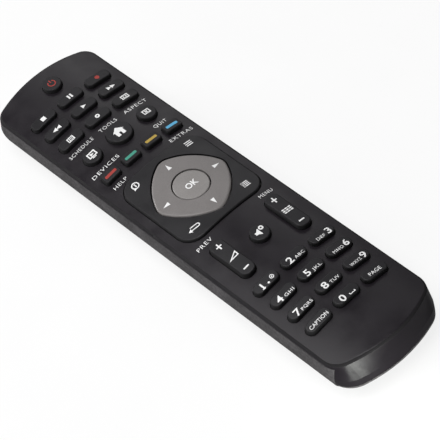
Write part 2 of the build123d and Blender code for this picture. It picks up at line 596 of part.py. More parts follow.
# Rockers: a long cap on a round pivot bar, with a plunger under each end and a tab on each side
pivot_height = MAT_TOP + STEM_CLEARANCE / 2 + ROCKER_PIVOT_RADIUS
rocker_bottom = pivot_height + ROCKER_PIVOT_RADIUS / 4
for name, x in rockers:
    with BuildPart() as rocker:
        with BuildSketch(Plane.XY.offset(rocker_bottom)):
            with Locations((x, ROCKER_Y)):
                ROCKER(-ROCKER_GAP)
        extrude(amount=CROWN_TOP)
        add(UNDER_FACE[ROCKER_PROUD], mode=Mode.INTERSECT)
        fillet(rocker.faces().sort_by(Axis.Z)[-1].edges(), KEY_ROUND)
        tab_half = ROCKER_WIDTH / 2 + LIP_REACH
        slab(x - tab_half, x + tab_half, ROCKER_Y - ROCKER_TAB_LENGTH / 2,
             ROCKER_Y + ROCKER_TAB_LENGTH / 2, rocker_bottom, rocker_bottom + LIP_THICKNESS)
        with BuildSketch(Plane.YZ.offset(x - ROCKER_PIVOT_LENGTH / 2)):
            with Locations((ROCKER_Y, pivot_height)):
                Circle(ROCKER_PIVOT_RADIUS)
        extrude(amount=ROCKER_PIVOT_LENGTH)
        with BuildSketch(Plane.XY.offset(PLUNGER_BOTTOM)):
            with Locations((x, ROCKER_Y - ROCKER_PLUNGER_OFFSET), (x, ROCKER_Y + ROCKER_PLUNGER_OFFSET)):
                Circle(PLUNGER_RADIUS)
        extrude(amount=rocker_bottom - PLUNGER_BOTTOM)
    save(rocker.part, name)

# Corner-key frame: a crowned square frame that tips towards each of its corner keys
with BuildPart() as corner_key_frame:
    with BuildSketch(Plane.XY.offset(PAD_BOTTOM)):
        with Locations((0, PAD_Y)):
            PAD_FRAME(-FRAME_GAP)
    extrude(amount=CROWN_TOP)
    add(UNDER_FACE[FRAME_PROUD], mode=Mode.INTERSECT)
    fillet(corner_key_frame.faces().sort_by(Axis.Z)[-1].edges(), FRAME_ROUND)
    with BuildSketch(Plane.XY.offset(PAD_BOTTOM)):
        with Locations((0, PAD_Y)):
            ring_outline(0)
    extrude(amount=CROWN_TOP, mode=Mode.SUBTRACT)
    with BuildSketch(Plane.XY.offset(PLUNGER_BOTTOM)):
        with Locations([(x, PAD_Y + y) for x, y in frame_plungers]):
            Circle(PLUNGER_RADIUS)
    extrude(amount=PAD_BOTTOM - PLUNGER_BOTTOM)
save(corner_key_frame.part, "corner_key_frame")

# Navigation ring: tips four ways inside the frame
with BuildPart() as nav_ring:
    with BuildSketch(Plane.XY.offset(PAD_BOTTOM)):
        with Locations((0, PAD_Y)):
            ring_outline(-RING_GAP)
    extrude(amount=CROWN_TOP)
    add(UNDER_FACE[RING_PROUD], mode=Mode.INTERSECT)
    fillet(nav_ring.faces().sort_by(Axis.Z)[-1].edges(), RING_ROUND)
    with BuildSketch(Plane.XY.offset(PAD_BOTTOM)):
        with Locations((0, PAD_Y)):
            Circle(DISC_RADIUS)
    extrude(amount=CROWN_TOP, mode=Mode.SUBTRACT)
    with BuildSketch(Plane.XY.offset(PLUNGER_BOTTOM)):
        with Locations([(x, PAD_Y + y) for x, y in ring_plungers]):
            Circle(PLUNGER_RADIUS)
    extrude(amount=PAD_BOTTOM + RING_PROUD - PLUNGER_BOTTOM)
save(nav_ring.part, "nav_ring")

# Centre disc: a push key inside the ring
disc_bottom = CROWN_TOP + DISC_PROUD - DISC_THICKNESS
with BuildPart() as ok_key:
    with BuildSketch(Plane.XY.offset(disc_bottom)):
        with Locations((0, PAD_Y)):
            Circle(DISC_RADIUS - RING_GAP)
    extrude(amount=CROWN_TOP)
    add(UNDER_FACE[DISC_PROUD], mode=Mode.INTERSECT)
    fillet(ok_key.faces().sort_by(Axis.Z)[-1].edges(), KEY_ROUND)
    with BuildSketch(Plane.XY.offset(PLUNGER_BOTTOM)):
        with Locations((0, PAD_Y)):
            Circle(DISC_STEM_RADIUS)
    extrude(amount=disc_bottom - PLUNGER_BOTTOM)
save(ok_key.part, "ok_key")

# Rubber seats on the mat, one that the ring rocks on and one that the frame rocks on
seats = [
    ("nav_seat", RING_SEAT_INNER, RING_SEAT_OUTER, RING_SEAT_LIFT, RING_SEAT_THICKNESS),
    ("corner_seat", FRAME_SEAT_INNER, FRAME_SEAT_OUTER, FRAME_SEAT_LIFT, FRAME_SEAT_THICKNESS),
]
for name, inner, outer, lift, thickness in seats:
    with BuildPart() as seat:
        with BuildSketch(Plane.XY.offset(MAT_TOP + lift)):
            with Locations((0, PAD_Y)):
                Circle(outer)
                Circle(inner, mode=Mode.SUBTRACT)
        extrude(amount=thickness)
    save(seat.part, name)

# Cells: a can with a nub at its positive end, one pointing each way
cells = [("battery_a", 1, BAY_IR_WALL - CONTACT_THICKNESS, -1),
         ("battery_b", -1, BAY_GRIP_WALL + CONTACT_THICKNESS, 1)]
for name, side, nub_face, inward in cells:
    can_face = nub_face + inward * CELL_NUB_LENGTH
    with BuildPart() as cell:
        with BuildSketch(Plane.XZ.offset(-can_face)):
            with Locations((side * CELL_X, CELL_AXIS)):
                Circle(CELL_RADIUS)
        extrude(amount=-inward * (CELL_LENGTH - CELL_NUB_LENGTH))
        fillet(cell.edges().filter_by(GeomType.CIRCLE), CELL_CLEARANCE)
        with BuildSketch(Plane.XZ.offset(-nub_face)):
            with Locations((side * CELL_X, CELL_AXIS)):
                Circle(CELL_NUB_RADIUS)
        extrude(amount=-inward * CELL_NUB_LENGTH)
    save(cell.part, name)


def coil_spring(x, plate_face, inward):
    """A conical coil in the current part, wide where it is joined to its plate."""
    rise = SPRING_LENGTH - 2 * SPRING_WIRE_RADIUS
    quarter_turns = 4 * SPRING_TURNS

    def centre_line(turn):
        share = turn / SPRING_TURNS
        radius = SPRING_BASE_RADIUS + (SPRING_TIP_RADIUS - SPRING_BASE_RADIUS) * share
        angle = radians(360 * turn)
        y = plate_face + inward * (SPRING_WIRE_RADIUS / 2 + rise * share)
        return (x + radius * cos(angle), y, CELL_AXIS + radius * sin(angle))

    with BuildLine() as wire:
        for quarter in range(quarter_turns):
            ThreePointArc(centre_line(quarter / 4), centre_line((quarter + 0.5) / 4),
                          centre_line((quarter + 1) / 4))
    with BuildSketch(Plane(origin=wire.wire() @ 0, z_dir=wire.wire() % 0)) as section:
        Circle(SPRING_WIRE_RADIUS)
    sweep(section.sketch, path=wire.wire())


# Contacts: the grip end has one bridging plate, the other end a plate for each cell
with BuildPart() as bridge_contact:
    slab(-BAY_HALF_WIDTH + CELL_CLEARANCE, BAY_HALF_WIDTH - CELL_CLEARANCE, BAY_GRIP_WALL,
         BAY_GRIP_WALL + CONTACT_THICKNESS, CELL_AXIS - CONTACT_HEIGHT / 2,
         CELL_AXIS + CONTACT_HEIGHT / 2)
    coil_spring(CELL_X, BAY_GRIP_WALL + CONTACT_THICKNESS, 1)
save(bridge_contact.part, "bridge_contact")

for name, side in (("positive_contact", 1), ("negative_contact", -1)):
    with BuildPart() as contact:
        plate = sorted((side * CELL_GAP, side * (BAY_HALF_WIDTH - CELL_CLEARANCE)))
        slab(*plate, BAY_IR_WALL - CONTACT_THICKNESS, BAY_IR_WALL, CELL_AXIS - CONTACT_HEIGHT / 2,
             CELL_AXIS + CONTACT_HEIGHT / 2)
        slab(side * CELL_X - TAIL_WIDTH / 2, side * CELL_X + TAIL_WIDTH / 2,
             BAY_IR_WALL - CONTACT_THICKNESS, BAY_IR_WALL, CELL_AXIS, BOARD_TOP)
        if name == "negative_contact":
            coil_spring(side * CELL_X, BAY_IR_WALL - CONTACT_THICKNESS, -1)
    save(contact.part, name)

# Parts soldered under the board, between the bulkhead and the infrared end
part_row = PAD_Y + CHIP_LENGTH
with BuildPart() as control_chip:
    with Locations((0, part_row, BOARD_BOTTOM - CHIP_THICKNESS / 2 - CHIP_LEAD_THICKNESS)):
        Box(CHIP_WIDTH, CHIP_LENGTH, CHIP_THICKNESS)
    chamfer(control_chip.faces().sort_by(Axis.Z)[0].edges(), CHIP_LEAD_THICKNESS)
    lead_half = CHIP_WIDTH / 2 + CHIP_LEAD_REACH
    for lead in range(CHIP_LEADS):
        y = part_row + (lead - (CHIP_LEADS - 1) / 2) * CHIP_LEAD_PITCH
        slab(-lead_half, lead_half, y - CHIP_LEAD_WIDTH / 2, y + CHIP_LEAD_WIDTH / 2,
             BOARD_BOTTOM - CHIP_LEAD_THICKNESS, BOARD_BOTTOM)
save(control_chip.part, "control_chip")

with BuildPart() as resonator:
    with Locations((CHIP_WIDTH + RESONATOR_SIZE[0], part_row, BOARD_BOTTOM - RESONATOR_SIZE[2] / 2)):
        Box(*RESONATOR_SIZE)
    fillet(resonator.edges().filter_by(Axis.Z), RESONATOR_SIZE[1] / 4)
save(resonator.part, "resonator")

with BuildPart() as capacitor:
    with BuildSketch(Plane.XZ.offset(-part_row)):
        with Locations((-CHIP_WIDTH - 2 * CAPACITOR_RADIUS, BOARD_BOTTOM - CAPACITOR_RADIUS)):
            Circle(CAPACITOR_RADIUS)
    extrude(amount=CAPACITOR_LENGTH / 2, both=True)
    fillet(capacitor.edges().filter_by(GeomType.CIRCLE), CAPACITOR_RADIUS / 5)
save(capacitor.part, "capacitor")

transistor_y = part_row + CHIP_LENGTH + TRANSISTOR_RADIUS
with BuildPart() as transistor:
    with BuildSketch(Plane.XY.offset(BOARD_BOTTOM - TRANSISTOR_HEIGHT)):
        with Locations((0, transistor_y)):
            Circle(TRANSISTOR_RADIUS)
        with Locations((0, transistor_y - TRANSISTOR_RADIUS - TRANSISTOR_FLAT)):
            Rectangle(4 * TRANSISTOR_RADIUS, 2 * TRANSISTOR_RADIUS, mode=Mode.SUBTRACT)
    extrude(amount=TRANSISTOR_HEIGHT)
save(transistor.part, "transistor")

with BuildPart() as resistor_set:
    for count in range(RESISTOR_COUNT):
        with Locations((-CHIP_WIDTH, transistor_y + count * RESISTOR_PITCH,
                        BOARD_BOTTOM - RESISTOR_SIZE[2] / 2)):
            Box(*RESISTOR_SIZE)
save(resistor_set.part, "resistor_set")
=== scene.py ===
import bmesh
import bpy
from math import cos, pi, radians, sin, sqrt
from mathutils import Matrix, Quaternion, Vector


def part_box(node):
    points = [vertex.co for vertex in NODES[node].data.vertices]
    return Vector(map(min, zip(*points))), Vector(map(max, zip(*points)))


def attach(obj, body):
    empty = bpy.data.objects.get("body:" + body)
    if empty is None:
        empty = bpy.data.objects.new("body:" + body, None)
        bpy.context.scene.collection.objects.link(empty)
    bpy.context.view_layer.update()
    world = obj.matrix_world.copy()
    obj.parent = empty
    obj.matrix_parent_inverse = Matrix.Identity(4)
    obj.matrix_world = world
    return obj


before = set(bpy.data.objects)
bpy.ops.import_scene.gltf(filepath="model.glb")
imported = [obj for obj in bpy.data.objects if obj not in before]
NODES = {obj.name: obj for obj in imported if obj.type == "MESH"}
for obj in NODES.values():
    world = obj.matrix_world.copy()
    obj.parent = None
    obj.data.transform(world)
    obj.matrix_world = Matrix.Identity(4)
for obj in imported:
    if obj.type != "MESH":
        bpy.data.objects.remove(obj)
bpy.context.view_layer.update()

MM = 0.001

# The crowned face and the middle of the navigation pad, in millimetres
FACE_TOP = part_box("front_shell")[1].z / MM
FACE_RADIUS = 97.5
PAD_Y = (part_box("ok_key")[0].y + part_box("ok_key")[1].y) / 2 / MM

# How far each kind of piece stands proud of the face
KEY_PROUD = 1.7
COLOUR_PROUD = 1.8
ROCKER_PROUD = 2.0
FRAME_PROUD = 0.8
RING_PROUD = 0.9
DISC_PROUD = 0.8

# How far a legend reaches into the surface that carries it, and stands above it
PRINT_DEPTH = 0.03
PRINT_RISE = 0.03


def centre(node):
    """The middle of a node's box in millimetres, seen from above."""
    low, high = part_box(node)
    return (low.x + high.x) / 2 / MM, (low.y + high.y) / 2 / MM


# Materials

# Most values of a noise lie between these two
NOISE_LOW = 0.3
NOISE_HIGH = 0.7


def grey(level):
    return (level,) * 3


def shade(colour, factor):
    return tuple(min(1.0, c * factor) for c in colour)


class Nodes:
    """Builds one material's node tree around its Principled shader."""

    def __init__(self, name):
        self.material = bpy.data.materials.new(name)
        self.material.use_nodes = True
        self.tree = self.material.node_tree
        self.shader = self.tree.nodes["Principled BSDF"]
        self.place = self.add("ShaderNodeTexCoord").outputs["Object"]

    def add(self, kind, **settings):
        node = self.tree.nodes.new(kind)
        for key, value in settings.items():
            setattr(node, key, value)
        return node

    def link(self, source, target):
        self.tree.links.new(source, target)

    def multiply_add(self, value, factor, addend=0.0):
        """value times factor plus addend. value is a socket, addend a socket or a number."""
        node = self.add("ShaderNodeMath", operation="MULTIPLY_ADD")
        self.link(value, node.inputs[0])
        node.inputs[1].default_value = factor
        if isinstance(addend, float):
            node.inputs[2].default_value = addend
        else:
            self.link(addend, node.inputs[2])
        return node.outputs[0]

    def noise(self, size_mm, detail=4.0, stretch=(1, 1, 1)):
        """Noise whose features are about size_mm across."""
        mapping = self.add("ShaderNodeMapping")
        mapping.inputs["Scale"].default_value = stretch
        self.link(self.place, mapping.inputs["Vector"])
        noise = self.add("ShaderNodeTexNoise")
        noise.inputs["Scale"].default_value = 1 / (size_mm * MM)
        noise.inputs["Detail"].default_value = detail
        self.link(mapping.outputs["Vector"], noise.inputs["Vector"])
        return noise.outputs["Fac"]

    def ramp(self, source, stops, interpolation="LINEAR"):
        """Maps a value to colours. stops is a list of (position, colour)."""
        ramp = self.add("ShaderNodeValToRGB")
        ramp.color_ramp.interpolation = interpolation
        elements = ramp.color_ramp.elements
        while len(elements) < len(stops):
            elements.new(0.5)
        for element, (position, colour) in zip(elements, stops):
            element.position = position
            element.color = (*colour, 1)
        self.link(source, ramp.inputs["Fac"])
        return ramp.outputs["Color"]

    def spread(self, source, low, high):
        """Maps the middle of a noise to the range from low to high."""
        spread = self.add("ShaderNodeMapRange")
        for socket, value in (("From Min", NOISE_LOW), ("From Max", NOISE_HIGH),
                              ("To Min", low), ("To Max", high)):
            spread.inputs[socket].default_value = value
        self.link(source, spread.inputs["Value"])
        return spread.outputs["Result"]

    def part_of(self, vector, letter):
        separate = self.add("ShaderNodeSeparateXYZ")
        self.link(vector, separate.inputs["Vector"])
        return separate.outputs[letter]

    def facing_up(self, stops):
        """Grey by how far the surface faces up: 1 is level and 0 is upright or facing down."""
        normal = self.add("ShaderNodeTexCoord").outputs["Normal"]
        greys = [(facing, grey(level)) for facing, level in stops]
        return self.ramp(self.part_of(normal, "Z"), greys)

    def bump(self, source, depth_mm):
        bump = self.add("ShaderNodeBump")
        bump.inputs["Strength"].default_value = 1.0
        bump.inputs["Distance"].default_value = depth_mm * MM
        self.link(source, bump.inputs["Height"])
        self.link(bump.outputs["Normal"], self.shader.inputs["Normal"])


# Plastic: sizes in millimetres, how rough its rims and sides are, and how dark the shade painted on
# them is
DRIFT_SIZE = 9.0
GRAINS_PER_SPECK = 2.5
GLOSS_DRIFT = 0.06
RIM_ROUGHNESS = 0.85
RIM_PAINTED_SHADE = 0.45

# Dulness and painted shade against how far the surface faces up: rims and sides are made rougher
# and painted darker. The cover's own upright walls stay glossy and keep their colour.
KEY_DULL_AND_SHADE = [(0.88, 1), (0.965, 0)]
COVER_DULL_AND_SHADE = [(0.32, 0), (0.45, 1), (0.93, 1), (0.966, 0)]


def plastic(name, colour, rough, grain_mm, grain_depth_mm, mottle=0.12, specular=0.4, dull_and_shade=None):
    """Moulded plastic: a fine grain in its surface and slow drifts of colour and gloss.

    Stops for rims and sides make them rougher and paint shade on them: their colour is
    darkened where the surface turns down from the light.
    """
    n = Nodes(name)
    drift = n.noise(DRIFT_SIZE, 3.0)
    speck = n.noise(grain_mm * GRAINS_PER_SPECK, 2.0)
    mix = n.multiply_add(speck, 0.5, n.multiply_add(drift, 0.5))
    darkest, lightest = shade(colour, 1 - mottle), shade(colour, 1 + mottle)
    tint = n.ramp(mix, [(NOISE_LOW, darkest), (NOISE_HIGH, lightest)])
    roughness = n.spread(drift, rough - GLOSS_DRIFT, rough + GLOSS_DRIFT)
    if dull_and_shade:
        dulness_and_shade = n.facing_up(dull_and_shade)
        roughness = n.multiply_add(dulness_and_shade, RIM_ROUGHNESS - rough, roughness)
        # Painted shade: the colour of rims and sides is darkened by how far they turn down
        painted_shade = n.add("ShaderNodeVectorMath", operation="SCALE")
        n.link(tint, painted_shade.inputs[0])
        n.link(n.multiply_add(dulness_and_shade, RIM_PAINTED_SHADE - 1, 1.0), painted_shade.inputs["Scale"])
        tint = painted_shade.outputs[0]
    n.link(tint, n.shader.inputs["Base Color"])
    n.link(roughness, n.shader.inputs["Roughness"])
    n.shader.inputs["Specular IOR Level"].default_value = specular
    n.bump(n.noise(grain_mm, 2.0), grain_depth_mm)
    return n.material


def metal(name, colour, rough, stretch):
    """Bare metal with fine drawing lines, drawn out by stretch."""
    n = Nodes(name)
    lines = n.noise(0.4, 5.0, stretch)
    tint = n.ramp(lines, [(0.35, shade(colour, 0.82)), (0.65, colour)])
    n.link(tint, n.shader.inputs["Base Color"])
    n.link(n.spread(lines, rough - 0.08, rough + 0.08), n.shader.inputs["Roughness"])
    n.shader.inputs["Metallic"].default_value = 1.0
    n.bump(lines, 0.01)
    return n.material


CELL_LENGTH = 0.0445
CELL_STEEL = (0.62, 0.61, 0.59)
CELL_BAND = (0.75, 0.74, 0.7)
CELL_SLEEVE = (0.09, 0.2, 0.3)
SLEEVE_METALLIC = 0.1


def cell_jacket(name, nub_end_y, inward):
    """A printed sleeve between bare metal ends, with a pale band at the positive end.

    inward is the sign of the direction from the positive end along y.
    """
    n = Nodes(name)
    y = n.part_of(n.place, "Y")
    along = n.multiply_add(y, inward / CELL_LENGTH, -inward * nub_end_y / CELL_LENGTH)
    stops = [(0.0, CELL_STEEL), (0.035, CELL_BAND), (0.24, CELL_SLEEVE), (0.985, CELL_STEEL)]
    n.link(n.ramp(along, stops, "CONSTANT"), n.shader.inputs["Base Color"])
    shine = [(0.03, 1), (0.036, SLEEVE_METALLIC), (0.982, SLEEVE_METALLIC), (0.988, 1)]
    shine = [(position, grey(level)) for position, level in shine]
    n.link(n.ramp(along, shine), n.shader.inputs["Metallic"])
    n.link(n.spread(n.noise(3.0), 0.26, 0.36), n.shader.inputs["Roughness"])
    n.bump(n.noise(1.2, 2.0), 0.01)
    return n.material


def laminate(name):
    """Solder-masked board: dull green with paler copper runs under the mask."""
    n = Nodes(name)
    waves = n.add("ShaderNodeTexWave", wave_type="BANDS", bands_direction="X")
    for socket, value in (("Scale", 90), ("Distortion", 3.0), ("Detail", 0.0)):
        waves.inputs[socket].default_value = value
    n.link(n.place, waves.inputs["Vector"])
    tint = n.ramp(waves.outputs["Fac"], [(0.45, (0.012, 0.07, 0.025)), (0.6, (0.03, 0.14, 0.05))])
    n.link(tint, n.shader.inputs["Base Color"])
    n.link(n.spread(n.noise(4.0), 0.3, 0.42), n.shader.inputs["Roughness"])
    n.bump(waves.outputs["Fac"], 0.03)
    return n.material


def clear_epoxy(name):
    """Faintly blue clear resin."""
    n = Nodes(name)
    tint = n.ramp(n.noise(2.0), [(NOISE_LOW, (0.7, 0.75, 0.85)), (NOISE_HIGH, (0.82, 0.85, 0.92))])
    n.link(tint, n.shader.inputs["Base Color"])
    n.link(n.spread(n.noise(1.0), 0.05, 0.12), n.shader.inputs["Roughness"])
    n.shader.inputs["Transmission Weight"].default_value = 0.7
    n.shader.inputs["IOR"].default_value = 1.5
    return n.material


# Colour, roughness, size of the grain and its depth
COVER = plastic("cover_plastic", (0.0108, 0.0085, 0.0116), 0.34, 0.25, 0.004, dull_and_shade=COVER_DULL_AND_SHADE)
SHELL = plastic("shell_plastic", (0.080, 0.076, 0.079), 0.58, 0.42, 0.10, mottle=0.55,
                specular=0.35)
KEY = plastic("key_plastic", (0.008, 0.0072, 0.0092), 0.42, 0.2, 0.006, dull_and_shade=KEY_DULL_AND_SHADE)
PLATE = plastic("plate_plastic", (0.009, 0.0082, 0.0100), 0.38, 0.22, 0.005, dull_and_shade=KEY_DULL_AND_SHADE)
RING = plastic("ring_plastic", (0.185, 0.173, 0.170), 0.42, 0.18, 0.006)
DISC = plastic("disc_plastic", (0.245, 0.232, 0.226), 0.38, 0.18, 0.006)
WINDOW = plastic("window_plastic", (0.012, 0.006, 0.007), 0.08, 0.5, 0.001, specular=0.5)
RUBBER = plastic("silicone_rubber", (0.15, 0.15, 0.15), 0.7, 0.3, 0.02, specular=0.5)
MOULDED = plastic("component_epoxy", (0.02, 0.02, 0.021), 0.55, 0.1, 0.01, specular=0.5)
BOARD = laminate("board_laminate")
STEEL = metal("contact_steel", (0.66, 0.65, 0.62), 0.3, (1, 1, 6))
CAN = metal("resonator_can", (0.6, 0.59, 0.56), 0.35, (6, 1, 1))
DIODE = clear_epoxy("diode_epoxy")

# Nodes that aren't named here are keys
FINISHES = {
    "front_shell": COVER,
    "rear_shell": SHELL,
    "battery_door": SHELL,
    "ir_window": WINDOW,
    "ir_led": DIODE,
    "circuit_board": BOARD,
    "rubber_keymat": RUBBER,
    "nav_seat": RUBBER,
    "corner_seat": RUBBER,
    "corner_key_frame": PLATE,
    "nav_ring": RING,
    "ok_key": DISC,
    "control_chip": MOULDED,
    "capacitor": MOULDED,
    "transistor": MOULDED,
    "resistor_set": MOULDED,
    "resonator": CAN,
    "bridge_contact": STEEL,
    "positive_contact": STEEL,
    "negative_contact": STEEL,
    "battery_a": cell_jacket("cell_jacket_a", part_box("battery_a")[1].y, -1),
    "battery_b": cell_jacket("cell_jacket_b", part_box("battery_b")[0].y, 1),
}
for name, node in NODES.items():
    node.data.materials.clear()
    node.data.materials.append(FINISHES.get(name, KEY))


def ink(name, colour):
    """Printed legend ink: nearly even, with the faint thin spots that printing leaves."""
    n = Nodes(name)
    tint = n.ramp(n.noise(0.5, 3.0), [(0.25, shade(colour, 0.9)), (0.6, colour)])
    n.link(tint, n.shader.inputs["Base Color"])
    n.link(n.spread(n.noise(1.5), 0.4, 0.5), n.shader.inputs["Roughness"])
    n.bump(n.noise(0.15, 2.0), 0.005)
    return n.material


INKS = {
    "legend": ink("ink_white", (0.86, 0.86, 0.86)),
    "legend_red": ink("ink_red", (0.35, 0.031, 0.023)),
    "legend_green": ink("ink_green", (0.05, 0.30, 0.22)),
    "legend_yellow": ink("ink_yellow", (0.45, 0.31, 0.052)),
    "legend_blue": ink("ink_blue", (0.10, 0.42, 0.68)),
}


# Legends: flat shapes drawn in millimetres, bent over the crowned face and closed into thin solids.
# A shape is a list of polygons, and a polygon is a list of (x, y) points.

# Long shapes have points about this far apart, so that they can bend
BEND_STEP = 0.8


def evenly(middle, width):
    """Places over a width about a middle, at even steps."""
    steps = max(1, int(width / BEND_STEP))
    return [middle - width / 2 + width * i / steps for i in range(steps + 1)]


def bar(x, y, width, height):
    """An upright rectangle with points along its long sides."""
    xs = evenly(x, width)
    return [[(t, y - height / 2) for t in xs] + [(t, y + height / 2) for t in reversed(xs)]]


def pill_bar(x, y, width, height, corner, steps=4):
    """A rectangle with rounded corners, cut into upright slices."""
    straight = width / 2 - corner
    cuts = [(reach, height / 2) for reach in evenly(0, 2 * straight)]
    for step in range(1, steps + 1):
        a = radians(90 * step / steps)
        reach, half_height = straight + corner * sin(a), height / 2 - corner + corner * cos(a)
        cuts = [(-reach, half_height)] + cuts + [(reach, half_height)]
    return [[(x + a, y - h), (x + b, y - k), (x + b, y + k), (x + a, y + h)]
            for (a, h), (b, k) in zip(cuts, cuts[1:])]


def band(x, y, inner, outer, start=0, end=360, steps=32):
    """A ring, or part of one, as a row of quadrilaterals."""
    polygons = []
    for step in range(steps):
        a = radians(start + (end - start) * step / steps)
        b = radians(start + (end - start) * (step + 1) / steps)
        corners = ((inner, a), (outer, a), (outer, b), (inner, b))
        polygons.append([(x + r * cos(t), y + r * sin(t)) for r, t in corners])
    return polygons


def dot(x, y, radius, steps=28):
    """A filled circle."""
    angles = [2 * pi * i / steps for i in range(steps)]
    return [[(x + radius * cos(a), y + radius * sin(a)) for a in angles]]


def outline_box(x, y, width, height, line):
    """A rectangular frame made of four strips."""
    w, h = width / 2, height / 2
    return (bar(x, y + h - line / 2, width, line) + bar(x, y - h + line / 2, width, line)
            + bar(x - w + line / 2, y, line, height - 2 * line)
            + bar(x + w - line / 2, y, line, height - 2 * line))


def moved(polygons, x, y, turn=0, scale=1):
    """A shape scaled, turned by degrees and moved, in that order."""
    c, s = cos(radians(turn)) * scale, sin(radians(turn)) * scale
    return [[(x + c * px - s * py, y + s * px + c * py) for px, py in polygon]
            for polygon in polygons]


def face_height(x, proud):
    """The height in millimetres of a surface that stands proud of the crowned face."""
    return FACE_TOP - FACE_RADIUS + sqrt((FACE_RADIUS + proud) ** 2 - x ** 2)


def finish_legend(bm, name, body, proud, slot):
    """Bends a flat millimetre mesh, whose z is 0 or 1, over the face and makes it a piece."""
    for vertex in bm.verts:
        x, y, z = vertex.co
        height = face_height(x, proud) + (PRINT_RISE if z > 0.5 else -PRINT_DEPTH)
        vertex.co = (x * MM, y * MM, height * MM)
    bmesh.ops.recalc_face_normals(bm, faces=bm.faces)
    mesh = bpy.data.meshes.new(name)
    bm.to_mesh(mesh)
    bm.free()
    mesh.materials.append(INKS[slot])
    piece = bpy.data.objects.new(name, mesh)
    bpy.context.scene.collection.objects.link(piece)
    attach(piece, body)


def add_prisms(bm, polygons):
    """Adds a closed prism, from z 0 to z 1, for each polygon, and joins neighbours."""
    corners = {}

    def rounded(point):
        return round(point[0], 4), round(point[1], 4)

    def corner(point, level):
        key = (*rounded(point), level)
        if key not in corners:
            corners[key] = bm.verts.new((point[0], point[1], level))
        return corners[key]

    outer_edges = {}
    for polygon in polygons:
        area = sum(a[0] * b[1] - b[0] * a[1] for a, b in zip(polygon, polygon[1:] + polygon[:1]))
        if area < 0:
            polygon = polygon[::-1]
        top = bm.faces.new([corner(p, 1) for p in polygon])
        bottom = bm.faces.new([corner(p, 0) for p in reversed(polygon)])
        bmesh.ops.triangulate(bm, faces=[f for f in (top, bottom) if len(f.verts) > 4])
        keys = [rounded(p) for p in polygon]
        for a, b in zip(keys, keys[1:] + keys[:1]):
            if (b, a) in outer_edges:
                del outer_edges[(b, a)]
            else:
                outer_edges[(a, b)] = True
    for a, b in outer_edges:
        bm.faces.new([corners[(*a, 0)], corners[(*b, 0)], corners[(*b, 1)], corners[(*a, 1)]])


# The font's capitals are this share of its size
CAPITAL_SHARE = 0.73
MERGE_DISTANCE = 0.0005


def add_text(bm, words, x, y, size, weight=0.0, stretch=1.0, spacing=1.0, width=None):
    """Adds words as closed solids from z 0 to z 1, in millimetres, with capitals size high.

    A width stretches or squeezes the words to fill it.
    """
    curve = bpy.data.curves.new("words", "FONT")
    curve.body = words
    curve.size = size / CAPITAL_SHARE
    curve.align_x = "CENTER"
    curve.resolution_u = 3
    curve.space_character = spacing
    curve.offset = weight
    curve.extrude = 0.5
    scratch = bpy.data.objects.new("words", curve)
    bpy.context.scene.collection.objects.link(scratch)
    bpy.context.view_layer.update()
    depsgraph = bpy.context.evaluated_depsgraph_get()
    mesh = bpy.data.meshes.new_from_object(scratch.evaluated_get(depsgraph))
    bpy.data.objects.remove(scratch)
    bpy.data.curves.remove(curve)
    text = bmesh.new()
    text.from_mesh(mesh)
    bmesh.ops.remove_doubles(text, verts=text.verts, dist=MERGE_DISTANCE)
    bmesh.ops.dissolve_degenerate(text, edges=text.edges, dist=MERGE_DISTANCE)
    if width:
        xs = [vertex.co.x for vertex in text.verts]
        stretch = width / (max(xs) - min(xs))
    place = Matrix.Translation((x, y - size / 2, 0.5))
    text.transform(place @ Matrix.Diagonal((stretch, 1, 1, 1)))
    text.to_mesh(mesh)
    text.free()
    bm.from_mesh(mesh)
    bpy.data.meshes.remove(mesh)


def legend(name, body, proud, slot="legend", shapes=(), words=()):
    """One legend piece from polygons and from words, each the arguments of add_text."""
    bm = bmesh.new()
    if shapes:
        add_prisms(bm, list(shapes))
    for entry in words:
        add_text(bm, **entry)
    finish_legend(bm, name, body, proud, slot)


def on_key(node, shapes=(), words=(), slot="legend", proud=KEY_PROUD):
    """A legend drawn about the middle of a key."""
    x, y = centre(node)
    placed = moved(list(shapes), x, y)
    written = [dict(entry, x=entry["x"] + x, y=entry["y"] + y) for entry in words]
    legend(f"legend_{node}", node, proud, slot, placed, written)


# Transport keys
triangle = [[(-0.85, -0.95), (-0.85, 0.95), (1.15, 0)]]
double = moved(triangle, -0.95, 0) + moved(triangle, 0.85, 0)
on_key("stop_key", bar(0, 0, 1.9, 1.9))
on_key("pause_key", bar(-0.65, 0, 0.7, 2.1) + bar(0.65, 0, 0.7, 2.1))
on_key("record_key", dot(0, 0, 0.95), slot="legend_red")
on_key("rewind_key", moved(double, 0, 0, 180))
on_key("play_key", triangle)
on_key("forward_key", double)

# Menu keys under them: a listing, a small ring and a wide picture
page_column = bar(-0.55, 0, 0.3, 1.5)
page_lines = bar(0.5, 0.3, 1.5, 0.25) + bar(0.5, -0.35, 1.5, 0.25)
on_key("guide_key", outline_box(0, 0, 3.0, 2.2, 0.35) + page_column + page_lines)
on_key("setup_key", band(0, 0, 0.35, 0.95, steps=24))
picture_bars = bar(-0.55, 0, 0.5, 0.9) + bar(0.55, 0, 0.5, 0.9)
on_key("aspect_key", outline_box(0, 0, 3.4, 2.2, 0.45) + picture_bars)

# Round keys
on_key("power_key", band(0, 0, 1.25, 1.7, 125, 415) + bar(0, 1.15, 0.45, 1.5), slot="legend_red")

screen = outline_box(0, 0.2, 3.4, 2.4, 0.45) + bar(0, -1.35, 1.6, 0.35)
screen_arrow = [[(-0.7, 0.9), (-0.7, -0.5), (0.8, 0.2)]]
on_key("source_key", moved(screen + screen_arrow, 0, 0, scale=1.12))

